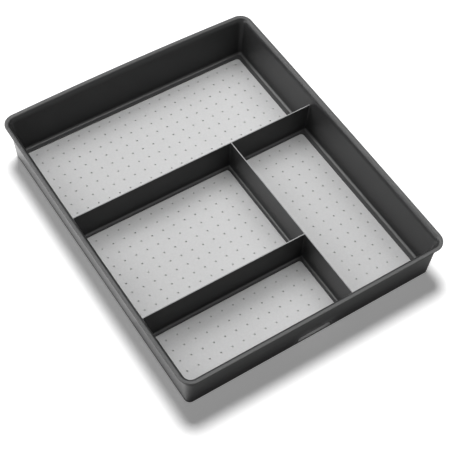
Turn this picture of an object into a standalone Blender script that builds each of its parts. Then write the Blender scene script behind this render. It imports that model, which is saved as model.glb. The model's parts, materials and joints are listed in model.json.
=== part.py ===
# Drawer organizer insert: a one-piece moulded tray with three integral
# dividers, four soft liners let into its floor and four round non-slip feet
# under it.
#
# Frame: metres, +Z up.  X runs along the short front side (left to right),
# Y runs from the front side to the back side.  The origin is the centre of
# the footprint, on the surface the feet stand on.

import bpy
import bmesh
import math
from mathutils import Vector

for old in list(bpy.data.objects):
    bpy.data.objects.remove(old, do_unlink=True)

MM = 0.001

# ---------------------------------------------------------------- dimensions
# overall size, over the rim
RIM_W = 336.0            # X
RIM_L = 406.0            # Y
HEIGHT = 59.5            # from the standing surface to the top of the rim
FOOT_STAND = 1.0         # the feet lift the tray by this much

# shell
WALL_T = 2.2
FLOOR_T = 2.8
INSET_BOTTOM = 9.0       # outer wall foot, in from the rim's outer edge
INSET_TOP = 5.3          # outer wall where it meets the rim, in from the rim
EDGE_R = 2.0             # bottom outer edge round
WALL_TOP_Z = 55.0        # where the straight wall gives way to the flared rim
LIP_T = 2.1              # thickness of the rim's flat lip
LIP_FLAT = 2.7           # inset of the inner edge of the rim's flat top
FLOOR_FILLET = 3.0       # wall to floor, inside
RIM_R = 15.5             # corner radius in plan, over the rim
CORNER_SEG = 7
SIDE_SEG = 6

# gentle outward bow of each side at rim level, at mid length
BOW_FRONT = 0.2
BOW_BACK = 2.4
BOW_LEFT = 0.9
BOW_RIGHT = 0.6

# dividers
DIV_TOP_Z = 44.0
DIV_T_TOP = 1.4
DIV_T_FOOT = 2.8
DIV_FILLET = 2.2
CROSS_BACK_Y = 48.2      # full-width cross divider
CROSS_FRONT_Y = -101.9   # short cross divider, left wall to the long divider
LONG_X = 48.9            # long divider, cross divider to the front wall

# liners: let into shallow pockets, standing just proud of the floor
GAP = 0.3
POCKET_D = 1.2
LINER_PROUD = 0.3
LINER_R = 4.0
LINER_HALF_W = 149.4
LINER_HALF_L = 184.3
LINER_TO_DIV = 6.1       # divider centre line to the edge of a liner

# feet
FOOT_R = 7.0
FOOT_T = 1.3
FOOT_X = 138.0
FOOT_Y = 172.0
FOOT_SEAT_D = 0.6
FOOT_EDGE = 0.3

# recess low down in the middle of the front wall
NOTCH_X = 1.5
NOTCH_HALF = 22.0
NOTCH_DEPTH = 3.3
NOTCH_Z0 = 5.0
NOTCH_Z1 = 14.0
NOTCH_CORNER = 3.8       # radius of the upper corners of the recess
NOTCH_LIP_SET = 0.5      # the strip under the recess sits back by this much
NOTCH_BACK_T = 2.2       # wall thickness behind the recess

FLOOR_Z = FOOT_STAND + FLOOR_T

# the sides bow by different amounts, so the layout is shifted to bring the
# centre of the whole footprint onto the origin
SHIFT = Vector(((BOW_LEFT - BOW_RIGHT) / 2, (BOW_FRONT - BOW_BACK) / 2, 0.0))


# ------------------------------------------------------------------- helpers
def material(name, colour, roughness):
    mat = bpy.data.materials.new(name)
    mat.use_nodes = True
    bsdf = mat.node_tree.nodes["Principled BSDF"]
    bsdf.inputs["Base Color"].default_value = (*colour, 1.0)
    bsdf.inputs["Roughness"].default_value = roughness
    return mat


def collection(name):
    coll = bpy.data.collections.new(name)
    bpy.context.scene.collection.children.link(coll)
    return coll


PARTS = collection("drawer_organizer_insert")
CUTTERS = collection("cutters")


def emit(bm, name, mat=None, cutter=False):
    bmesh.ops.recalc_face_normals(bm, faces=bm.faces[:])
    mesh = bpy.data.meshes.new(name)
    bm.to_mesh(mesh)
    bm.free()
    obj = bpy.data.objects.new(name, mesh)
    if cutter:
        obj.display_type = "WIRE"
        obj.hide_render = True
        CUTTERS.objects.link(obj)
    else:
        mesh.materials.append(mat)
        PARTS.objects.link(obj)
    return obj


def outline(half_x, half_y, radius, bow=0.0):
    """Closed rounded-rectangle outline (mm), counter-clockwise from above.
    bow scales the outward bow of the four sides."""
    pts = []
    sides = (
        # corner centre, start angle, bow direction and amount of next side
        ((half_x - radius, -half_y + radius), -90.0),
        ((half_x - radius, half_y - radius), 0.0),
        ((-half_x + radius, half_y - radius), 90.0),
        ((-half_x + radius, -half_y + radius), 180.0),
    )
    bows = ((1, 0, BOW_RIGHT), (0, 1, BOW_BACK), (-1, 0, BOW_LEFT), (0, -1, BOW_FRONT))
    for i, ((cx, cy), a0) in enumerate(sides):
        for k in range(CORNER_SEG + 1):
            a = math.radians(a0 + 90.0 * k / CORNER_SEG)
            pts.append((cx + radius * math.cos(a), cy + radius * math.sin(a)))
        ax, ay = pts[-1]
        ncx, ncy = sides[(i + 1) % 4][0]
        a = math.radians(sides[(i + 1) % 4][1])
        bx, by = ncx + radius * math.cos(a), ncy + radius * math.sin(a)
        nx, ny, amount = bows[i]
        for k in range(1, SIDE_SEG):
            u = k / SIDE_SEG
            d = bow * amount * (1.0 - (2.0 * u - 1.0) ** 2)
            pts.append((ax + (bx - ax) * u + nx * d, ay + (by - ay) * u + ny * d))
    return pts


def loft(rings):
    """Closed solid through a list of equal-length rings of (x, y, z) in mm."""
    bm = bmesh.new()
    loops = [[bm.verts.new((Vector(p) + SHIFT) * MM) for p in ring] for ring in rings]
    for low, high in zip(loops, loops[1:]):
        n = len(low)
        for i in range(n):
            j = (i + 1) % n
            bm.faces.new((low[i], low[j], high[j], high[i]))
    bm.faces.new(list(reversed(loops[0])))
    bm.faces.new(loops[-1])
    return bm


def wall_inset(z):
    """Inset of the outer wall face at height z."""
    f = (z - FOOT_STAND) / (WALL_TOP_Z - FOOT_STAND)
    return INSET_BOTTOM + (INSET_TOP - INSET_BOTTOM) * f


def shell_ring(inset, z):
    half_x = RIM_W / 2 - inset
    half_y = RIM_L / 2 - inset
    radius = max(RIM_R - inset, 3.0)
    bow = max(0.0, (z - FOOT_STAND) / (HEIGHT - FOOT_STAND))
    return [(x, y, z) for x, y in outline(half_x, half_y, radius, bow)]


def boolean(target, cutter, operation):
    mod = target.modifiers.new(operation.lower() + "_" + cutter.name, "BOOLEAN")
    mod.operation = operation
    mod.solver = "EXACT"
    mod.object = cutter


# -------------------------------------------------------------------- shell
# One closed skin: up the outside, over the rim, down the inside.
rings = []
z0 = FOOT_STAND
rings.append(shell_ring(wall_inset(z0) + EDGE_R, z0))
for deg in (30, 60, 90):
    a = math.radians(deg)
    z = z0 + EDGE_R * (1 - math.cos(a))
    rings.append(shell_ring(wall_inset(z) + EDGE_R * (1 - math.sin(a)), z))
rings.append(shell_ring(wall_inset(28.0), 28.0))
rings.append(shell_ring(wall_inset(WALL_TOP_Z - 0.6), WALL_TOP_Z - 0.6))
# concave turn into the underside of the lip
under = HEIGHT - LIP_T
rings.append(shell_ring(INSET_TOP - 0.4, under - 1.0))
rings.append(shell_ring(INSET_TOP - 1.5, under - 0.15))
rings.append(shell_ring(0.35, under))
# rounded outer edge of the lip
rings.append(shell_ring(0.0, under + 0.45))
rings.append(shell_ring(0.0, HEIGHT - 0.6))
rings.append(shell_ring(0.2, HEIGHT - 0.2))
rings.append(shell_ring(0.7, HEIGHT))
rings.append(shell_ring(LIP_FLAT, HEIGHT))
# flared shoulder down to the straight inner wall
shoulder = INSET_TOP + WALL_T - LIP_FLAT
for deg in (22, 45, 68, 90):
    a = math.radians(deg)
    rings.append(shell_ring(LIP_FLAT + shoulder * math.sin(a),
                            HEIGHT - (HEIGHT - WALL_TOP_Z) * (1 - math.cos(a))))
rings.append(shell_ring(wall_inset(DIV_TOP_Z) + WALL_T, DIV_TOP_Z))
# floor fillet
for deg in (0, 30, 60, 90):
    a = math.radians(deg)
    z = FLOOR_Z + FLOOR_FILLET * (1 - math.sin(a))
    rings.append(shell_ring(wall_inset(z) + WALL_T + FLOOR_FILLET * (1 - math.cos(a)), z))

plastic = material("granite_grey_plastic", (0.045, 0.046, 0.048), 0.55)
tray = emit(loft(rings), "tray_body", plastic)


# ------------------------------------------------------------------ dividers
def divider_profile():
    """Half section of a divider, from its foot up: (offset, height)."""
    foot = DIV_T_FOOT / 2
    prof = [(foot + DIV_FILLET, FOOT_STAND + 1.5)]
    for deg in (0, 30, 60, 90):
        a = math.radians(deg)
        prof.append((foot + DIV_FILLET * (1 - math.sin(a)),
                     FLOOR_Z + DIV_FILLET * (1 - math.cos(a))))
    prof.append((DIV_T_TOP / 2, DIV_TOP_Z - 0.3))
    prof.append((DIV_T_TOP / 2 - 0.3, DIV_TOP_Z))
    return prof


def divider(name, axis, centre, start, end):
    """Tapered rib.  start(z) and end(z) give where it stops at height z."""
    half = divider_profile()
    section = [(-o, z) for o, z in half] + [(o, z) for o, z in reversed(half)]
    rings_ = []
    for stop in (start, end):
        ring = []
        for o, z in section:
            s = stop(z)
            ring.append((s, centre + o, z) if axis == "X" else (centre + o, s, z))
        rings_.append(ring)
    return emit(loft(rings_), name, cutter=True)


def wall_mid_x(z):
    return RIM_W / 2 - wall_inset(z) - WALL_T / 2


def wall_mid_y(z):
    return RIM_L / 2 - wall_inset(z) - WALL_T / 2


ribs = [
    divider("rib_cross_back", "X", CROSS_BACK_Y,
            lambda z: -wall_mid_x(z), lambda z: wall_mid_x(z)),
    divider("rib_long", "Y", LONG_X,
            lambda z: -wall_mid_y(z), lambda z: CROSS_BACK_Y),
    divider("rib_cross_front", "X", CROSS_FRONT_Y,
            lambda z: -wall_mid_x(z), lambda z: LONG_X),
]
for rib in ribs:
    boolean(tray, rib, "UNION")

# ------------------------------------------------- front wall recess and jog
wall_y = -(RIM_L / 2 - wall_inset(NOTCH_Z0))         # outer face near the foot


def plate(name, half_x, front, back, z_low, z_high, corner=0.0):
    """Upright plate across X with rounded upper corners, from front to back."""
    out = []
    for y in (front, back):
        ring = [(NOTCH_X - half_x, y, z_low), (NOTCH_X + half_x, y, z_low)]
        if corner > 0.0:
            for side, a0 in ((1, 0.0), (-1, 90.0)):
                for k in range(6):
                    a = math.radians(a0 + 18.0 * k)
                    ring.append((NOTCH_X + side * (half_x - corner) + corner * math.cos(a), y,
                                 z_high - corner + corner * math.sin(a)))
        else:
            ring += [(NOTCH_X + half_x, y, z_high), (NOTCH_X - half_x, y, z_high)]
        out.append(ring)
    return emit(loft(out), name, cutter=True)


jog = plate("notch_jog", NOTCH_HALF + 2.2, wall_y + WALL_T / 2,
            wall_y + NOTCH_DEPTH + NOTCH_BACK_T, FOOT_STAND + 1.4,
            NOTCH_Z1 + 2.2, corner=NOTCH_CORNER + 1.0)
boolean(tray, jog, "UNION")
slot = plate("notch_slot", NOTCH_HALF, wall_y - 4.0, wall_y + NOTCH_DEPTH,
             NOTCH_Z0, NOTCH_Z1, corner=NOTCH_CORNER)
boolean(tray, slot, "DIFFERENCE")
strip = plate("notch_strip", NOTCH_HALF, wall_y - 4.0, wall_y + NOTCH_LIP_SET,
              FOOT_STAND - 1.0, NOTCH_Z0 + 0.5)
boolean(tray, strip, "DIFFERENCE")

# ------------------------------------------------------------------- liners
LINERS = {
    # name: x from, x to, y from, y to
    "liner_back": (-LINER_HALF_W, LINER_HALF_W,
                   CROSS_BACK_Y + LINER_TO_DIV, LINER_HALF_L),
    "liner_middle_left": (-LINER_HALF_W, LONG_X - LINER_TO_DIV,
                          CROSS_FRONT_Y + LINER_TO_DIV, CROSS_BACK_Y - LINER_TO_DIV),
    "liner_front_left": (-LINER_HALF_W, LONG_X - LINER_TO_DIV,
                         -LINER_HALF_L, CROSS_FRONT_Y - LINER_TO_DIV),
    "liner_right": (LONG_X + LINER_TO_DIV, LINER_HALF_W,
                    -LINER_HALF_L, CROSS_BACK_Y - LINER_TO_DIV),
}


def slab(x_from, x_to, y_from, y_to, radius, z_low, z_high, edge=0.0):
    """Rounded rectangular plate, with a small round on its top edge."""
    cx, cy = (x_from + x_to) / 2, (y_from + y_to) / 2
    hx, hy = (x_to - x_from) / 2, (y_to - y_from) / 2
    levels = [(0.0, z_low)]
    if edge:
        levels += [(0.0, z_high - edge), (edge * 0.3, z_high - edge * 0.3), (edge, z_high)]
    else:
        levels += [(0.0, z_high)]
    out = []
    for inset, z in levels:
        ring = []
        for sx, sy, a0 in ((1, -1, -90), (1, 1, 0), (-1, 1, 90), (-1, -1, 180)):
            for k in range(6):
                a = math.radians(a0 + 90 * k / 5)
                r = radius - inset
                ring.append((cx + sx * (hx - radius) + r * math.cos(a),
                             cy + sy * (hy - radius) + r * math.sin(a), z))
        out.append(ring)
    return loft(out)


soft = material("light_grey_soft_liner", (0.56, 0.56, 0.56), 0.75)
for name, (xa, xb, ya, yb) in LINERS.items():
    pocket = emit(slab(xa - GAP, xb + GAP, ya - GAP, yb + GAP, LINER_R + GAP,
                       FLOOR_Z - POCKET_D, FLOOR_Z + 2.0), "pocket_" + name, cutter=True)
    boolean(tray, pocket, "DIFFERENCE")
    emit(slab(xa, xb, ya, yb, LINER_R, FLOOR_Z - POCKET_D + GAP,
              FLOOR_Z + LINER_PROUD, edge=0.3), name, soft)

# --------------------------------------------------------------------- feet
def disc(cx, cy, radius, z_low, z_high, edge=0.0, segments=32):
    levels = [(radius - edge, z_low)]
    if edge:
        levels.append((radius, z_low + edge))
    levels.append((radius, z_high))
    out = []
    for r, z in levels:
        out.append([(cx + r * math.cos(2 * math.pi * k / segments),
                     cy + r * math.sin(2 * math.pi * k / segments), z)
                    for k in range(segments)])
    return loft(out)


rubber = material("black_foot_rubber", (0.03, 0.03, 0.03), 0.8)
for name, sx, sy in (("foot_front_left", -1, -1), ("foot_front_right", 1, -1),
                     ("foot_back_left", -1, 1), ("foot_back_right", 1, 1)):
    seat = emit(disc(sx * FOOT_X, sy * FOOT_Y, FOOT_R + GAP, FOOT_STAND - 1.0,
                     FOOT_STAND + FOOT_SEAT_D), "seat_" + name, cutter=True)
    boolean(tray, seat, "DIFFERENCE")
    emit(disc(sx * FOOT_X, sy * FOOT_Y, FOOT_R, 0.0, FOOT_T, edge=FOOT_EDGE), name, rubber)
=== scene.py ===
import bpy
import bmesh
import json
import math
from mathutils import Vector, Matrix, Quaternion

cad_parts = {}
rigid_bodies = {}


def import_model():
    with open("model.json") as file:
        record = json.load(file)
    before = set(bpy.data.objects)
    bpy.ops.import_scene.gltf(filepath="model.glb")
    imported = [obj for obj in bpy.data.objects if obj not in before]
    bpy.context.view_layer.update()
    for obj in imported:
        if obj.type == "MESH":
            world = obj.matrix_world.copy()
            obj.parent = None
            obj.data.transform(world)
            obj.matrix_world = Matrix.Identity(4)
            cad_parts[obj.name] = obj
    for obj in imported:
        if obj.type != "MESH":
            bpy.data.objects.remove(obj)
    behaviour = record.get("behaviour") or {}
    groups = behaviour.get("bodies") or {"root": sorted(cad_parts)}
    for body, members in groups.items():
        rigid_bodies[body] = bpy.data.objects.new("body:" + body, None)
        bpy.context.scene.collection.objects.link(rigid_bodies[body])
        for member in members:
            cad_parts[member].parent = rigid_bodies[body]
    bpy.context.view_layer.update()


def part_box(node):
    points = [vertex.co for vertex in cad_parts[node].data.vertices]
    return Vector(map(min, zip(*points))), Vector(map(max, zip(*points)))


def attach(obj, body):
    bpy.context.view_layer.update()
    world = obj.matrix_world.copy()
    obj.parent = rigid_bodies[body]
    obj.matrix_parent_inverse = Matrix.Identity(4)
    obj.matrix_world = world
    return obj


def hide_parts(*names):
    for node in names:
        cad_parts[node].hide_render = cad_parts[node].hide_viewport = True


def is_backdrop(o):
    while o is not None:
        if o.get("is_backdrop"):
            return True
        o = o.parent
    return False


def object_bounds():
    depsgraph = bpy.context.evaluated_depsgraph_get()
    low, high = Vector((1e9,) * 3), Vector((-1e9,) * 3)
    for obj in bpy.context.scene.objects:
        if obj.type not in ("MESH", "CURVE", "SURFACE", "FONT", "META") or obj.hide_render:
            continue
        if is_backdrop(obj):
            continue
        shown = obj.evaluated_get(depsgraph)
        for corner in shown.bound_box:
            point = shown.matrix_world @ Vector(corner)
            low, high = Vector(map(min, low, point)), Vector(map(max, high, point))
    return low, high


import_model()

MM = 0.001

# ------------------------------------------------------------------ constants
# (mm, in the CAD's frame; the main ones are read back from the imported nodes)
tray_lo, tray_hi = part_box("tray_body")
HEIGHT = tray_hi.z / MM
BOW_FRONT, BOW_BACK, BOW_LEFT, BOW_RIGHT = 0.2, 2.4, 0.9, 0.6
RIM_W = (tray_hi.x - tray_lo.x) / MM - BOW_LEFT - BOW_RIGHT
RIM_L = (tray_hi.y - tray_lo.y) / MM - BOW_FRONT - BOW_BACK
SHIFT = Vector(((BOW_LEFT - BOW_RIGHT) / 2, (BOW_FRONT - BOW_BACK) / 2, 0.0))
BASE_Z = tray_lo.z / MM
WALL_T = 2.2
FLOOR_T = 2.8
FLOOR_Z = BASE_Z + FLOOR_T
INSET_BOTTOM = 9.0
INSET_TOP = 5.3
EDGE_R = 2.0
WALL_TOP_Z = 55.0
FLARE_D = 8.5
LIP_T = 2.1
LIP_FLAT = 2.7
FLOOR_FILLET = 3.0
RIM_R = 15.5
CORNER_SEG = 18
SIDE_SEG = 14

DIV_TOP_Z = 44.0
DIV_T_TOP = 1.2
DIV_T_FOOT = 2.8
DIV_FILLET = 2.2
CROSS_BACK_Y = 48.2
CROSS_FRONT_Y = -101.9
LONG_X = 48.9
GAP = 0.3
SHADOW_GAP = 0.62      # what is seen round a liner: gap plus the pocket edge
POCKET_D = 1.2
LINER_R = 4.0

FOOT_R = 7.0
FOOT_X = 138.0
FOOT_Y = 172.0
FOOT_SEAT_D = 0.6

NOTCH_X = 1.5
NOTCH_HALF = 22.0
NOTCH_DEPTH = 3.3
NOTCH_Z0 = 5.0
NOTCH_Z1 = 14.0
NOTCH_LIP_SET = 0.5
NOTCH_JOG = 2.2

scene = bpy.context.scene


# ------------------------------------------------------------------- helpers
def link(obj):
    scene.collection.objects.link(obj)
    return obj


def to_object(bm, name, recalc=True):
    if recalc:
        bmesh.ops.recalc_face_normals(bm, faces=bm.faces[:])
    mesh = bpy.data.meshes.new(name)
    bm.to_mesh(mesh)
    bm.free()
    return link(bpy.data.objects.new(name, mesh))


def outline(half_x, half_y, radius, bow=0.0):
    pts = []
    sides = (
        ((half_x - radius, -half_y + radius), -90.0),
        ((half_x - radius, half_y - radius), 0.0),
        ((-half_x + radius, half_y - radius), 90.0),
        ((-half_x + radius, -half_y + radius), 180.0),
    )
    bows = ((1, 0, BOW_RIGHT), (0, 1, BOW_BACK), (-1, 0, BOW_LEFT), (0, -1, BOW_FRONT))
    for i, ((cx, cy), a0) in enumerate(sides):
        for k in range(CORNER_SEG + 1):
            a = math.radians(a0 + 90.0 * k / CORNER_SEG)
            pts.append((cx + radius * math.cos(a), cy + radius * math.sin(a)))
        ax, ay = pts[-1]
        ncx, ncy = sides[(i + 1) % 4][0]
        a = math.radians(sides[(i + 1) % 4][1])
        bx, by = ncx + radius * math.cos(a), ncy + radius * math.sin(a)
        nx, ny, amount = bows[i]
        for k in range(1, SIDE_SEG):
            u = k / SIDE_SEG
            d = bow * amount * (1.0 - (2.0 * u - 1.0) ** 2)
            pts.append((ax + (bx - ax) * u + nx * d, ay + (by - ay) * u + ny * d))
    return pts


def loft(rings):
    bm = bmesh.new()
    loops = [[bm.verts.new((Vector(p) + SHIFT) * MM) for p in ring] for ring in rings]
    for low, high in zip(loops, loops[1:]):
        n = len(low)
        for i in range(n):
            j = (i + 1) % n
            bm.faces.new((low[i], low[j], high[j], high[i]))
    bm.faces.new(list(reversed(loops[0])))
    bm.faces.new(loops[-1])
    return bm


def wall_inset(z):
    f = (z - BASE_Z) / (WALL_TOP_Z - BASE_Z)
    return INSET_BOTTOM + (INSET_TOP - INSET_BOTTOM) * f


def shell_ring(inset, z):
    radius = max(RIM_R - inset, 3.0)
    bow = max(0.0, (z - BASE_Z) / (HEIGHT - BASE_Z))
    return [(x, y, z) for x, y in outline(RIM_W / 2 - inset, RIM_L / 2 - inset, radius, bow)]


def arc(steps, a0=0.0, a1=90.0):
    return [math.radians(a0 + (a1 - a0) * k / steps) for k in range(steps + 1)]


def apply_modifiers(obj):
    deps = bpy.context.evaluated_depsgraph_get()
    mesh = bpy.data.meshes.new_from_object(obj.evaluated_get(deps))
    mesh.name = obj.name
    obj.modifiers.clear()
    obj.data = mesh
    return obj


def smooth(obj, angle=32.0, weighted=True):
    mesh = obj.data
    mesh.polygons.foreach_set("use_smooth", [True] * len(mesh.polygons))
    mesh.set_sharp_from_angle(angle=math.radians(angle))
    if weighted:
        mod = obj.modifiers.new("weighted", "WEIGHTED_NORMAL")
        mod.mode = "FACE_AREA"
        mod.weight = 50
        mod.keep_sharp = True
    mesh.update()


# ------------------------------------------------------------------ tray shell
rings = []
rings.append(shell_ring(wall_inset(BASE_Z) + EDGE_R, BASE_Z))
for a in arc(6)[1:]:
    z = BASE_Z + EDGE_R * (1 - math.cos(a))
    rings.append(shell_ring(wall_inset(z) + EDGE_R * (1 - math.sin(a)), z))
for z in (12.0, 22.0, 32.0, 42.0, 50.0, WALL_TOP_Z - 0.6):
    rings.append(shell_ring(wall_inset(z), z))
under = HEIGHT - LIP_T
# small concave turn under the lip
turn = 0.6
zt = under - turn
it = wall_inset(zt)
for a in arc(4)[0:]:
    rings.append(shell_ring(it - turn * (1 - math.cos(a)), zt + turn * math.sin(a)))
# rounded outer edge of the lip
edge = 0.7
rings.append(shell_ring(edge, under))
for a in arc(6)[1:]:
    rings.append(shell_ring(edge * (1 - math.sin(a)), under + edge * (1 - math.cos(a))))
for a in arc(6):
    rings.append(shell_ring(edge * (1 - math.cos(a)), HEIGHT - edge + edge * math.sin(a)))
rings.append(shell_ring((edge + LIP_FLAT) / 2, HEIGHT))
rings.append(shell_ring(LIP_FLAT, HEIGHT))
# flared shoulder into the inner wall
drop = FLARE_D
shoulder = wall_inset(HEIGHT - drop) + WALL_T - LIP_FLAT
for a in arc(14)[1:]:
    rings.append(shell_ring(LIP_FLAT + shoulder * math.sin(a),
                            HEIGHT - drop * (1 - math.cos(a))))
for z in (45.0, 38.0, 30.0, 22.0, 14.0):
    rings.append(shell_ring(wall_inset(z) + WALL_T, z))
for a in arc(7):
    z = FLOOR_Z + FLOOR_FILLET * (1 - math.sin(a))
    rings.append(shell_ring(wall_inset(z) + WALL_T + FLOOR_FILLET * (1 - math.cos(a)), z))
tray = to_object(loft(rings), "tray_moulding")

ADD = bpy.data.collections.new("add")
CUT = bpy.data.collections.new("cut")
for c in (ADD, CUT):
    scene.collection.children.link(c)


def tool(bm, name, coll):
    obj = to_object(bm, name)
    scene.collection.objects.unlink(obj)
    coll.objects.link(obj)
    return obj


# ------------------------------------------------------------------- dividers
def face_offset(z):
    """Half thickness of a divider at height z."""
    z0, z1 = FLOOR_Z + DIV_FILLET, DIV_TOP_Z - DIV_T_TOP / 2
    f = (z - z0) / (z1 - z0)
    return DIV_T_FOOT / 2 + (DIV_T_TOP / 2 - DIV_T_FOOT / 2) * min(max(f, 0.0), 1.0)


def divider(name, axis, centre, start, end):
    foot = DIV_T_FOOT / 2
    half = [(foot + DIV_FILLET, BASE_Z + 1.5)]
    for a in arc(7):
        half.append((foot + DIV_FILLET * (1 - math.sin(a)), FLOOR_Z + DIV_FILLET * (1 - math.cos(a))))
    r = DIV_T_TOP / 2
    e = 0.32
    for a in arc(5):
        half.append((r - e + e * math.cos(a), DIV_TOP_Z - e + e * math.sin(a)))
    section = [(-o, z) for o, z in half] + [(0.0, DIV_TOP_Z + 0.03)] + [(o, z) for o, z in reversed(half)]
    out = []
    for k, stop in enumerate((start, end)):
        out.append([(stop(z), centre + o, z) if axis == "X" else (centre + o, stop(z), z)
                    for o, z in section])
    return tool(loft(out), name, ADD)


def wall_x(z, t=0.5):
    return RIM_W / 2 - wall_inset(z) - WALL_T * t


def wall_y(z, t=0.5):
    return RIM_L / 2 - wall_inset(z) - WALL_T * t


divider("rib_a", "X", CROSS_BACK_Y, lambda z: -wall_x(z), lambda z: wall_x(z))
divider("rib_b", "Y", LONG_X, lambda z: -wall_y(z), lambda z: CROSS_BACK_Y)
divider("rib_c", "X", CROSS_FRONT_Y, lambda z: -wall_x(z), lambda z: LONG_X)


# upright fillets in the corners between dividers and walls
def upright(name, corner, sx, sy, r=1.7, top=DIV_TOP_Z - 0.25):
    """corner(z) gives the meeting point of the two faces; sx, sy point out of
    the two faces into the compartment."""
    out = []
    for z in (FLOOR_Z - 0.6, 12.0, 26.0, top - 0.5, top):
        cx, cy = corner(z)
        rr = r if z < top else r * 0.75
        ring = [(-0.5, -0.35), (-0.5, rr)]
        for a in arc(6):
            ring.append((rr * (1 - math.cos(a)), rr * (1 - math.sin(a))))
        ring.append((rr, -0.35))
        out.append([(cx + sx * u, cy + sy * v, z) for u, v in ring])
    return tool(loft(out), name, ADD)


def bow_at(z, amount, pos, half):
    b = max(0.0, (z - BASE_Z) / (HEIGHT - BASE_Z))
    return b * amount * (1 - (pos / half) ** 2)


for i, (cy0, side) in enumerate(((CROSS_BACK_Y, 1), (CROSS_BACK_Y, -1), (CROSS_FRONT_Y, 1), (CROSS_FRONT_Y, -1))):
    upright(f"web_l{i}", lambda z, c=cy0, s=side: (
        -(wall_x(z, 1.0) + bow_at(z, BOW_LEFT, c, RIM_L / 2)), c + s * face_offset(z)), 1, side)
for i, side in enumerate((1, -1)):
    upright(f"web_r{i}", lambda z, s=side: (
        wall_x(z, 1.0) + bow_at(z, BOW_RIGHT, CROSS_BACK_Y, RIM_L / 2), CROSS_BACK_Y + s * face_offset(z)), -1, side)
    upright(f"web_t{i}", lambda z, s=side: (LONG_X + s * face_offset(z), CROSS_BACK_Y - face_offset(z)), side, -1)
    upright(f"web_f{i}", lambda z, s=side: (
        LONG_X + s * face_offset(z), -(wall_y(z, 1.0) + bow_at(z, BOW_FRONT, LONG_X, RIM_W / 2))), side, 1)
    upright(f"web_m{i}", lambda z, s=side: (LONG_X - face_offset(z), CROSS_FRONT_Y + s * face_offset(z)), -1, side)


# ------------------------------------------------ front recess and its jog
WY = -(RIM_L / 2 - wall_inset(NOTCH_Z0))


def notch_block(name, coll, half_x, y0, y1, z0, z1, corner=3.5, foot=0.5, lean=0.0, ease=0.0):
    """Upright plate with rounded upper corners, swept from y0 (front) to y1;
    ease rounds its inner end off and lean tips that end's top down."""
    out = []
    steps = ((0.0, 0.0), (1.0, 0.0)) if ease == 0.0 else (
        (0.0, 0.0), (1.0 - ease / (y1 - y0), 0.0), (1.0 - 0.45 * ease / (y1 - y0), 0.14 * ease),
        (1.0 - 0.12 * ease / (y1 - y0), 0.5 * ease), (1.0, ease))
    for f, shrink in steps:
        y = y0 + (y1 - y0) * f
        hx, top = half_x - shrink, z1 - shrink - lean * f
        ring = []
        for sx, cz, r, a0 in ((1, z0, foot, -90), (1, top, corner, 0), (-1, top, corner, 90), (-1, z0, foot, 180)):
            zc = cz + r if cz == z0 else cz - r
            for ang in arc(6, a0, a0 + 90):
                ring.append((NOTCH_X + sx * (hx - r) + r * math.cos(ang), y, zc + r * math.sin(ang)))
        out.append(ring)
    return tool(loft(out), name, coll)


notch_block("jog", ADD, NOTCH_HALF + 2.2, WY + WALL_T / 2, WY + NOTCH_DEPTH + 2.2, BASE_Z + 1.4,
            NOTCH_Z1 + 2.4, corner=4.5, ease=1.4, lean=0.6)
notch_block("slot", CUT, NOTCH_HALF, WY - 4.0, WY + NOTCH_DEPTH, NOTCH_Z0, NOTCH_Z1, corner=3.8, foot=0.4)
notch_block("strip", CUT, NOTCH_HALF, WY - 4.0, WY + NOTCH_LIP_SET, BASE_Z - 1.5, NOTCH_Z0 + 0.9, corner=0.3, foot=0.3)


# ------------------------------------------------------ liner pockets, seats
def rounded_rect(x0, x1, y0, y1, radius, seg=8):
    cx, cy, hx, hy = (x0 + x1) / 2, (y0 + y1) / 2, (x1 - x0) / 2, (y1 - y0) / 2
    ring = []
    for sx, sy, a0 in ((1, -1, -90), (1, 1, 0), (-1, 1, 90), (-1, -1, 180)):
        for k in range(seg + 1):
            a = math.radians(a0 + 90 * k / seg)
            ring.append((cx + sx * (hx - radius) + radius * math.cos(a),
                         cy + sy * (hy - radius) + radius * math.sin(a)))
    return ring


LINERS = {}
for name in ("liner_back", "liner_middle_left", "liner_front_left", "liner_right"):
    lo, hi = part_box(name)
    LINERS[name] = (lo.x / MM - SHIFT.x, hi.x / MM - SHIFT.x, lo.y / MM - SHIFT.y, hi.y / MM - SHIFT.y,
                    lo.z / MM, hi.z / MM)
    x0, x1, y0, y1 = LINERS[name][:4]
    prof = [(0.0, FLOOR_Z - POCKET_D), (0.0, FLOOR_Z - 0.25), (0.08, FLOOR_Z - 0.08), (0.25, FLOOR_Z), (0.6, FLOOR_Z + 0.35)]
    tool(loft([[(x, y, z) for x, y in rounded_rect(x0 - SHADOW_GAP - g, x1 + SHADOW_GAP + g, y0 - SHADOW_GAP - g, y1 + SHADOW_GAP + g,
                                   LINER_R + SHADOW_GAP + g)]
               for g, z in prof]), "pocket_" + name, CUT)


def disc_rings(cx, cy, levels, segments=48):
    return [[(cx + r * math.cos(2 * math.pi * k / segments),
              cy + r * math.sin(2 * math.pi * k / segments), z) for k in range(segments)]
            for r, z in levels]


FEET = {"foot_front_left": (-1, -1), "foot_front_right": (1, -1),
        "foot_back_left": (-1, 1), "foot_back_right": (1, 1)}
for name, (sx, sy) in FEET.items():
    tool(loft(disc_rings(sx * FOOT_X, sy * FOOT_Y, (
        (FOOT_R + GAP + 0.7, BASE_Z - 0.4), (FOOT_R + GAP + 0.3, BASE_Z), (FOOT_R + GAP + 0.08, BASE_Z + 0.1),
        (FOOT_R + GAP, BASE_Z + 0.3), (FOOT_R + GAP, BASE_Z + FOOT_SEAT_D)))), "seat_" + name, CUT)

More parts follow.
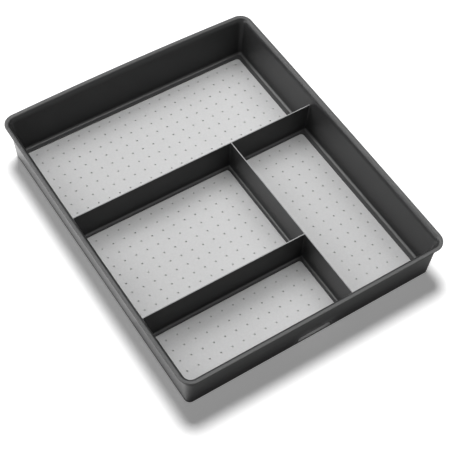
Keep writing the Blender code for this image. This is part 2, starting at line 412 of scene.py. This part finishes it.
for coll, op in ((ADD, "UNION"), (CUT, "DIFFERENCE")):
    mod = tray.modifiers.new(op.lower(), "BOOLEAN")
    mod.operation = op
    mod.solver = "EXACT"
    mod.operand_type = "COLLECTION"
    mod.collection = coll
    mod.use_self = False
apply_modifiers(tray)
for coll in (ADD, CUT):
    for o in list(coll.objects):
        bpy.data.objects.remove(o, do_unlink=True)
    bpy.data.collections.remove(coll)
bm = bmesh.new()
bm.from_mesh(tray.data)
bmesh.ops.remove_doubles(bm, verts=bm.verts[:], dist=2e-6)
bmesh.ops.dissolve_degenerate(bm, edges=bm.edges[:], dist=2e-6)
loose = [v for v in bm.verts if not v.link_faces]
bmesh.ops.delete(bm, geom=loose, context="VERTS")
open_edges = [e for e in bm.edges if len(e.link_faces) != 2]
print("tray faces", len(bm.faces), "open edges", len(open_edges))
bm.to_mesh(tray.data)
bm.free()
tray.data.materials.clear()
smooth(tray, 34.0)


# --------------------------------------------------------------------- liners
# Each liner: dimples on a grid, as modelled cups, inside a plate with a
# rounded edge.  (first x, x step, count, first y, y step, count)
GRIDS = {
    "liner_back": (-139.42, 14.01, 21, 176.56, 14.09, 9),
    "liner_middle_left": (-139.82, 14.32, 13, 33.25, 13.37, 10),
    "liner_front_left": (-139.68, 14.23, 13, -117.92, 14.55, 5),
    "liner_right": (67.05, 14.37, 6, 33.34, 13.93, 16),
}
DIMPLE_R = 1.15
DIMPLE_D = 0.95


def build_liner(name):
    x0, x1, y0, y1, z0, z1 = LINERS[name]
    gx, dx, nx, gy, dy, ny = GRIDS[name]
    bm = bmesh.new()
    cache = {}

    def vert(x, y, z):
        key = (round(x, 4), round(y, 4), round(z, 4))
        if key not in cache:
            cache[key] = bm.verts.new((Vector((x, y, z)) + SHIFT) * MM)
        return cache[key]

    # cell boundaries half way between dimples; the outer cells are as wide
    # as half a step, or less where the edge of the liner is close
    def lines(first, step, count, lo, hi):
        c = [first + step * k for k in range(count)]
        b = [(c[k] + c[k + 1]) / 2 for k in range(count - 1)]
        margin = 3.2
        return c, [max(c[0] - abs(step) / 2, lo + margin)] + b + [min(c[-1] + abs(step) / 2, hi - margin)]

    cxs, bxs = lines(gx, dx, nx, x0, x1)
    cys, bys = lines(gy - dy * (ny - 1), dy, ny, y0, y1)
    seg = 16
    prof = ((1.6, 0.0), (1.14, -0.012), (1.03, -0.06), (0.98, -0.2), (0.93, -0.45), (0.84, -0.66), (0.5, -0.75))
    for i, cx in enumerate(cxs):
        for j, cy in enumerate(cys):
            xa, xb, ya, yb = bxs[i], bxs[i + 1], bys[j], bys[j + 1]
            border = []
            for k in range(seg):
                a = math.radians(-135 + 360 * k / seg)
                side, f = divmod(k, seg // 4)
                f /= seg / 4
                border.append(((xa + (xb - xa) * f, ya), (xb, ya + (yb - ya) * f),
                               (xb - (xb - xa) * f, yb), (xa, yb - (yb - ya) * f))[side])
            loops = [[vert(x, y, z1) for x, y in border]]
            for r, z in prof:
                loops.append([vert(cx + DIMPLE_R * r * math.cos(math.radians(-135 + 360 * k / seg)),
                                   cy + DIMPLE_R * r * math.sin(math.radians(-135 + 360 * k / seg)),
                                   z1 + z * DIMPLE_D / 0.75) for k in range(seg)])
            for outer, inner in zip(loops, loops[1:]):
                for k in range(seg):
                    m = (k + 1) % seg
                    bm.faces.new((outer[k], outer[m], inner[m], inner[k]))
            bm.faces.new(loops[-1])
    bm.edges.ensure_lookup_table()
    inner_edges = [e for e in bm.edges if len(e.link_faces) == 1]

    # plate outline, with a rolled top edge
    roll = 0.45
    levels = []
    for a in arc(5):
        levels.append((roll * (1 - math.cos(a)), z1 - roll + roll * math.sin(a)))
    levels = list(reversed(levels)) + [(0.0, z0)]
    loops = []
    for inset, z in levels:
        loops.append([bm.verts.new((Vector((x, y, z)) + SHIFT) * MM) for x, y in
                      rounded_rect(x0 + inset, x1 - inset, y0 + inset, y1 - inset, LINER_R - inset)])
    outer_edges = []
    n = len(loops[0])
    for a_, b_ in zip(loops, loops[1:]):
        for k in range(n):
            m = (k + 1) % n
            bm.faces.new((a_[k], b_[k], b_[m], a_[m]))
    for k in range(n):
        e = bm.edges.get((loops[0][k], loops[0][(k + 1) % n]))
        outer_edges.append(e)
    bm.faces.new(loops[-1])
    bmesh.ops.triangle_fill(bm, use_beauty=True, edges=inner_edges + outer_edges)
    obj = to_object(bm, name + "_panel")
    smooth(obj, 40.0)
    return obj


# ----------------------------------------------------------------------- feet
def build_foot(name, sx, sy):
    lo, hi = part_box(name)
    z0, z1 = lo.z / MM, hi.z / MM
    levels = [(1.2, z0 + 0.28), (2.6, z0 + 0.26), (2.9, z0 + 0.22), (3.1, z0 + 0.05), (3.3, z0)]
    levels += [(5.0, z0), (5.2, z0 + 0.04), (5.35, z0 + 0.2), (5.6, z0 + 0.2), (5.75, z0 + 0.04), (5.95, z0)]
    for a in arc(5)[0:]:
        levels.append((FOOT_R - 0.5 * (1 - math.sin(a)), z0 + 0.5 * (1 - math.cos(a))))
    levels += [(FOOT_R, z1 - 0.15), (FOOT_R - 0.15, z1)]
    obj = to_object(loft(disc_rings(sx * FOOT_X, sy * FOOT_Y, levels, 64)), name + "_pad")
    smooth(obj, 45.0)
    return obj


# ------------------------------------------------------------------ materials
def new_material(name):
    mat = bpy.data.materials.new(name)
    mat.use_nodes = True
    nt = mat.node_tree
    bsdf = nt.nodes["Principled BSDF"]
    return mat, nt, bsdf


def node(nt, kind, **props):
    n = nt.nodes.new(kind)
    for k, v in props.items():
        setattr(n, k, v)
    return n


def noise(nt, coord, scale, detail=3.0, rough=0.5, distortion=0.0):
    n = node(nt, "ShaderNodeTexNoise")
    n.inputs["Scale"].default_value = scale
    n.inputs["Detail"].default_value = detail
    n.inputs["Roughness"].default_value = rough
    n.inputs["Distortion"].default_value = distortion
    nt.links.new(coord, n.inputs["Vector"])
    return n.outputs["Fac"]


def ramp(nt, fac, stops):
    n = node(nt, "ShaderNodeValToRGB")
    cr = n.color_ramp
    while len(cr.elements) > len(stops):
        cr.elements.remove(cr.elements[-1])
    while len(cr.elements) < len(stops):
        cr.elements.new(0.5)
    for e, (p, c) in zip(cr.elements, stops):
        e.position = p
        e.color = (c, c, c, 1.0) if not isinstance(c, tuple) else (*c, 1.0)
    nt.links.new(fac, n.inputs["Fac"])
    return n.outputs["Color"]


def remap(nt, fac, a0, a1, b0, b1):
    n = node(nt, "ShaderNodeMapRange")
    n.inputs["From Min"].default_value = a0
    n.inputs["From Max"].default_value = a1
    n.inputs["To Min"].default_value = b0
    n.inputs["To Max"].default_value = b1
    nt.links.new(fac, n.inputs["Value"])
    return n.outputs["Result"]


def mix(nt, fac, a, b, blend="MIX"):
    n = node(nt, "ShaderNodeMix", data_type="RGBA", blend_type=blend)
    for sock, val in ((n.inputs["Factor"], fac), (n.inputs["A"], a), (n.inputs["B"], b)):
        pass
    def put(sock, val):
        if hasattr(val, "is_output"):
            nt.links.new(val, sock)
        elif isinstance(val, tuple):
            sock.default_value = (*val, 1.0)
        else:
            sock.default_value = val
    put(n.inputs[0], fac)
    put(n.inputs[6], a)
    put(n.inputs[7], b)
    return n.outputs[2]


def bump(nt, height, strength, distance, normal=None):
    n = node(nt, "ShaderNodeBump")
    n.inputs["Strength"].default_value = strength
    n.inputs["Distance"].default_value = distance
    nt.links.new(height, n.inputs["Height"])
    if normal is not None:
        nt.links.new(normal, n.inputs["Normal"])
    return n.outputs["Normal"]


def maths(nt, op, a, b=None):
    n = node(nt, "ShaderNodeMath", operation=op)
    for sock, val in ((n.inputs[0], a), (n.inputs[1], b)):
        if val is None:
            continue
        if hasattr(val, "is_output"):
            nt.links.new(val, sock)
        else:
            sock.default_value = val
    return n.outputs[0]


def tray_plastic():
    mat, nt, bsdf = new_material("granite_grey_moulded_plastic")
    pos = node(nt, "ShaderNodeTexCoord").outputs["Object"]
    fine = noise(nt, pos, 2600.0, 2.0, 0.55)          # spark-eroded mould grain
    medium = noise(nt, pos, 900.0, 3.0, 0.6)
    broad = noise(nt, pos, 22.0, 4.0, 0.55, 0.4)      # slow tone and gloss drift
    flow = noise(nt, pos, 6.0, 2.0, 0.5, 1.2)
    geo = node(nt, "ShaderNodeNewGeometry")
    worn = remap(nt, geo.outputs["Pointiness"], 0.515, 0.60, 0.0, 1.0)
    worn = maths(nt, "MULTIPLY", worn, remap(nt, broad, 0.3, 0.75, 0.25, 1.0))
    base = ramp(nt, medium, ((0.30, (0.0245, 0.0247, 0.0250)), (0.52, (0.0280, 0.0282, 0.0285)), (0.72, (0.0325, 0.0327, 0.0331))))
    base = mix(nt, remap(nt, broad, 0.3, 0.7, 0.0, 0.35), base, (0.0305, 0.0307, 0.0311))
    base = mix(nt, maths(nt, "MULTIPLY", worn, 0.35), base, (0.070, 0.0705, 0.071))
    # painted highlights: the fillets beside the liners and the divider tops are made paler to stand in for the
    # highlights they catch; the divider tops are also smoother
    xyz = node(nt, "ShaderNodeSeparateXYZ")
    nt.links.new(pos, xyz.inputs[0])
    facing = node(nt, "ShaderNodeSeparateXYZ")
    nt.links.new(geo.outputs["Normal"], facing.inputs[0])
    up = remap(nt, facing.outputs[2], 0.55, 0.95, 0.0, 1.0)
    low = maths(nt, "MULTIPLY", remap(nt, xyz.outputs[2], (FLOOR_Z + 0.02) * MM, (FLOOR_Z + 0.16) * MM, 0.0, 1.0),
                remap(nt, xyz.outputs[2], (FLOOR_Z + 1.2) * MM, (FLOOR_Z + 2.6) * MM, 1.0, 0.0))
    low = maths(nt, "MULTIPLY", low, remap(nt, facing.outputs[2], 0.12, 0.45, 0.0, 1.0))
    low = maths(nt, "MULTIPLY", low, remap(nt, facing.outputs[1], -0.75, -0.15, 0.30, 1.0))
    # painted light: the flat floor close beside the liners is made paler to stand in for light falling on it
    flat = maths(nt, "MULTIPLY", remap(nt, xyz.outputs[2], (FLOOR_Z + 0.10) * MM, (FLOOR_Z + 0.30) * MM, 0.55, 0.0), up)
    top = maths(nt, "MULTIPLY", remap(nt, xyz.outputs[2], DIV_TOP_Z * MM - 0.00040, DIV_TOP_Z * MM - 0.00010, 0.0, 1.0),
                remap(nt, xyz.outputs[2], DIV_TOP_Z * MM + 0.0004, DIV_TOP_Z * MM + 0.0006, 1.0, 0.0))
    top = maths(nt, "MULTIPLY", top, up)
    # painted highlight: the flat of the rim is made paler to stand in for the highlight it catches
    rim_flat_highlight = maths(nt, "MULTIPLY", remap(nt, xyz.outputs[2], (HEIGHT - 0.9) * MM, (HEIGHT - 0.15) * MM, 0.0, 1.0),
                 remap(nt, facing.outputs[2], 0.35, 0.95, 0.0, 1.0))
    base = mix(nt, maths(nt, "MULTIPLY", rim_flat_highlight, 0.55), base, (0.085, 0.0855, 0.086))
    # painted light on the flat floor beside the liners; painted highlights on the fillets and the divider tops
    base = mix(nt, flat, base, (0.088, 0.0885, 0.089))
    base = mix(nt, low, base, (0.118, 0.1185, 0.119))
    base = mix(nt, top, base, (0.36, 0.361, 0.363))
    # painted shade: the faces turned away from the main lights (facing -Y) are made darker, and given a rougher finish
    turned_away_shade = maths(nt, "MULTIPLY", remap(nt, facing.outputs[1], -0.40, -0.95, 0.0, 1.0),
                 remap(nt, facing.outputs[2], 0.12, 0.40, 1.0, 0.0))
    base = mix(nt, maths(nt, "MULTIPLY", turned_away_shade, 0.75), base, (0.0115, 0.0116, 0.0118))
    # painted shade on the outside close under the lip: darker and rougher there
    out = maths(nt, "ADD", maths(nt, "MULTIPLY", xyz.outputs[0], facing.outputs[0]),
                maths(nt, "MULTIPLY", xyz.outputs[1], facing.outputs[1]))
    under_lip_shade = maths(nt, "MULTIPLY", remap(nt, out, 0.02, 0.05, 0.0, 0.75),
                      maths(nt, "MULTIPLY", remap(nt, xyz.outputs[2], 0.0425, 0.0475, 0.0, 1.0),
                            remap(nt, xyz.outputs[2], 0.0581, 0.0586, 1.0, 0.0)))
    base = mix(nt, under_lip_shade, base, (0.0060, 0.0060, 0.0062))
    nt.links.new(base, bsdf.inputs["Base Color"])
    rough = maths(nt, "ADD", remap(nt, broad, 0.3, 0.7, 0.32, 0.37), remap(nt, fine, 0.3, 0.7, -0.03, 0.03))
    rough = maths(nt, "ADD", rough, maths(nt, "MULTIPLY", turned_away_shade, 0.30))
    rough = maths(nt, "ADD", rough, maths(nt, "MULTIPLY", under_lip_shade, 0.45))
    rough = maths(nt, "SUBTRACT", rough, maths(nt, "MULTIPLY", worn, 0.06))
    rough = maths(nt, "SUBTRACT", rough, maths(nt, "MULTIPLY", top, 0.10))
    nt.links.new(rough, bsdf.inputs["Roughness"])
    bsdf.inputs["IOR"].default_value = 1.49
    bsdf.inputs["Specular IOR Level"].default_value = 0.5
    n1 = bump(nt, flow, 0.12, 0.0006)
    n2 = bump(nt, medium, 0.18, 0.00012, n1)
    n3 = bump(nt, fine, 0.30, 0.00005, n2)
    nt.links.new(n3, bsdf.inputs["Normal"])
    return mat


def liner_soft():
    mat, nt, bsdf = new_material("light_grey_soft_grip")
    pos = node(nt, "ShaderNodeTexCoord").outputs["Object"]
    fine = noise(nt, pos, 2200.0, 2.0, 0.6)
    medium = noise(nt, pos, 420.0, 3.0, 0.55)
    broad = noise(nt, pos, 14.0, 4.0, 0.55, 0.3)
    base = ramp(nt, medium, ((0.28, (0.580, 0.581, 0.582)), (0.5, (0.605, 0.606, 0.607)), (0.74, (0.630, 0.631, 0.632))))
    base = mix(nt, remap(nt, broad, 0.3, 0.7, 0.0, 0.4), base, (0.590, 0.592, 0.595))
    xyz = node(nt, "ShaderNodeSeparateXYZ")
    nt.links.new(pos, xyz.inputs[0])
    # painted shade: the bottoms of the dimples are made darker
    dimple_shade = remap(nt, xyz.outputs[2], 0.0041 - 0.00070, 0.0041 - 0.00015, 0.30, 0.0)
    base = mix(nt, dimple_shade, base, (0.16, 0.16, 0.16))
    nt.links.new(base, bsdf.inputs["Base Color"])
    rough = maths(nt, "ADD", remap(nt, broad, 0.3, 0.7, 0.66, 0.76), remap(nt, fine, 0.3, 0.7, -0.04, 0.04))
    nt.links.new(rough, bsdf.inputs["Roughness"])
    bsdf.inputs["IOR"].default_value = 1.45
    bsdf.inputs["Specular IOR Level"].default_value = 0.35
    bsdf.inputs["Sheen Weight"].default_value = 0.08
    bsdf.inputs["Sheen Roughness"].default_value = 0.6
    n1 = bump(nt, broad, 0.10, 0.0008)
    n2 = bump(nt, medium, 0.16, 0.00015, n1)
    n3 = bump(nt, fine, 0.25, 0.00006, n2)
    nt.links.new(n3, bsdf.inputs["Normal"])
    return mat


def foot_rubber():
    mat, nt, bsdf = new_material("black_moulded_rubber")
    pos = node(nt, "ShaderNodeTexCoord").outputs["Object"]
    fine = noise(nt, pos, 1800.0, 2.0, 0.6)
    broad = noise(nt, pos, 120.0, 3.0, 0.55)
    base = ramp(nt, broad, ((0.3, (0.022, 0.022, 0.023)), (0.7, (0.034, 0.034, 0.035))))
    dust = remap(nt, fine, 0.55, 0.75, 0.0, 0.35)
    base = mix(nt, dust, base, (0.075, 0.073, 0.070))
    nt.links.new(base, bsdf.inputs["Base Color"])
    nt.links.new(remap(nt, broad, 0.3, 0.7, 0.68, 0.82), bsdf.inputs["Roughness"])
    bsdf.inputs["Specular IOR Level"].default_value = 0.4
    n1 = bump(nt, broad, 0.15, 0.0002)
    n2 = bump(nt, fine, 0.3, 0.00006, n1)
    nt.links.new(n2, bsdf.inputs["Normal"])
    return mat


M_TRAY, M_LINER, M_FOOT = tray_plastic(), liner_soft(), foot_rubber()

tray.data.materials.append(M_TRAY)
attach(tray, "root")
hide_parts("tray_body")

for name in LINERS:
    panel = build_liner(name)
    panel.data.materials.append(M_LINER)
    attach(panel, "root")
    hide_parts(name)

for name, (sx, sy) in FEET.items():
    pad = build_foot(name, sx, sy)
    pad.data.materials.append(M_FOOT)
    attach(pad, "root")
    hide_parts(name)


# --------------------------------------------------------------------- studio
def floor():
    bm = bmesh.new()
    s = 6.0
    vs = [bm.verts.new((x, y, 0.0)) for x, y in ((-s, -s), (s, -s), (s, s), (-s, s))]
    bm.faces.new(vs)
    obj = to_object(bm, "studio_floor")
    mat, nt, bsdf = new_material("studio_white")
    bsdf.inputs["Base Color"].default_value = (0.92, 0.92, 0.92, 1.0)
    bsdf.inputs["Roughness"].default_value = 0.9
    bsdf.inputs["Specular IOR Level"].default_value = 0.0
    bsdf.inputs["Emission Color"].default_value = (1.0, 1.0, 1.0, 1.0)
    seen = node(nt, "ShaderNodeLightPath").outputs["Is Camera Ray"]
    # far from the object the paper stays white in spite of the light's falloff
    reach = node(nt, "ShaderNodeVectorMath", operation="LENGTH")
    nt.links.new(node(nt, "ShaderNodeTexCoord").outputs["Object"], reach.inputs[0])
    far = maths(nt, "MULTIPLY", remap(nt, reach.outputs["Value"], 0.6, 1.8, 0.0, 0.8), seen)
    nt.links.new(maths(nt, "ADD", remap(nt, seen, 0.0, 1.0, 0.02, 0.26), far), bsdf.inputs["Emission Strength"])
    obj.data.materials.append(mat)
    obj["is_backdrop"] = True
    return obj


floor()


def area(name, direction, distance, size, power, target=(0, 0, 0), size_y=None, spread=180.0):
    data = bpy.data.lights.new(name, "AREA")
    data.shape = "RECTANGLE" if size_y else "SQUARE"
    data.size = size
    if size_y:
        data.size_y = size_y
    data.energy = power
    data.spread = math.radians(spread)
    obj = link(bpy.data.objects.new(name, data))
    d = Vector(direction).normalized()
    obj.location = Vector(target) + d * distance
    obj.rotation_mode = "QUATERNION"
    obj.rotation_quaternion = d.to_track_quat("Z", "Y")
    return obj


def compass(azimuth, elevation):
    """Direction to a light: azimuth from +X towards +Y, elevation above the floor."""
    a, e = math.radians(azimuth), math.radians(elevation)
    return (math.cos(e) * math.cos(a), math.cos(e) * math.sin(a), math.sin(e))


# The set has two groups: soft lights all round for the object, and one
# round overhead light for the floor, which gives the single soft shadow.
FLOOR_ONLY = bpy.data.collections.new("floor_lit")
OBJECT_ONLY = bpy.data.collections.new("object_lit")
FLOOR_ONLY.objects.link(bpy.data.objects["studio_floor"])
for o in bpy.data.objects:
    if o.type == "MESH" and o.name != "studio_floor":
        OBJECT_ONLY.objects.link(o)

for name, az, el, dist, size, watts in (
        ("softbox_right", 0, 52, 3.0, 1.3, 16.5),
        ("softbox_back_right", 45, 52, 3.0, 1.3, 13.0),
        ("softbox_back", 90, 52, 3.0, 1.3, 20.0),
        ("softbox_back_left", 135, 52, 3.0, 1.3, 15.0),
        ("softbox_over", 50, 82, 3.0, 1.1, 20.0),
        ("softbox_front", -54, 62, 3.0, 1.5, 11.0),
        ("fill_back_left", 138, 28, 2.5, 1.5, 24.0),
        ("fill_left", 180, 10, 2.2, 1.3, 21.0)):
    lamp = area(name, compass(az, el), dist, size, watts)
    lamp.light_linking.receiver_collection = OBJECT_ONLY
# white cards lying beside the object, which its outer walls reflect
for name, x, y, sx, sy, watts in (("card_left_back", -0.281, 0.11, 0.24, 0.38, 0.220),
                                  ("card_left_front", -0.281, -0.19, 0.24, 0.22, 0.098),
                                  ("card_front", 0.03, -0.334, 0.46, 0.26, 0.019)):
    card = area(name, (0, 0, 1), 0.0006, sx, watts, target=(x, y, 0.0), size_y=sy)
    card.rotation_quaternion = Quaternion((0.0, 1.0, 0.0, 0.0))   # faces up
    card.visible_camera = False
    card.light_linking.receiver_collection = OBJECT_ONLY
board = area("board_front", (0.25, -0.97, 0.10), 0.62, 0.95, 1.0, target=(0, 0, 0.12), size_y=0.34)
board.visible_camera = False
board.light_linking.receiver_collection = OBJECT_ONLY
# a small kicker for the ledge of the recess
kicker = area("kicker", (0.0, -0.62, 0.78), 0.030, 0.046, 0.0034, target=((NOTCH_X + SHIFT.x) * MM, (WY + 1.5 + SHIFT.y) * MM, 0.006),
              size_y=0.008, spread=70.0)
kicker.visible_camera = False
kicker.light_linking.receiver_collection = OBJECT_ONLY
sun = area("floor_light", (0.10, 0.30, 0.95), 3.0, 1.15, 115.0)
sun.data.shape = "DISK"
sun.light_linking.receiver_collection = FLOOR_ONLY

world = bpy.data.worlds.new("studio")
scene.world = world
world.use_nodes = True
bg = world.node_tree.nodes["Background"]
bg.inputs["Color"].default_value = (1.0, 1.0, 1.0, 1.0)
# a white backdrop that the camera sees, and that lights nothing
backdrop = world.node_tree.nodes.new("ShaderNodeLightPath")
world.node_tree.links.new(backdrop.outputs["Is Camera Ray"], bg.inputs["Strength"])

scene.view_settings.view_transform = "Standard"
scene.view_settings.look = "None"
scene.view_settings.exposure = 0.0
scene.view_settings.gamma = 1.0

# --------------------------------------------------------------------- camera
cam_data = bpy.data.cameras.new("camera")
cam_data.sensor_width = 36.0
cam_data.sensor_fit = "HORIZONTAL"
cam_data.lens = 99.3923
cam_data.clip_start, cam_data.clip_end = 0.05, 50.0
cam = link(bpy.data.objects.new("camera", cam_data))
cam.location = (-0.47827, -0.68867, 1.16502)
cam.rotation_mode = "QUATERNION"
cam.rotation_quaternion = (0.916395, 0.284227, -0.100868, -0.263176)
scene.camera = cam

lo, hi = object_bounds()
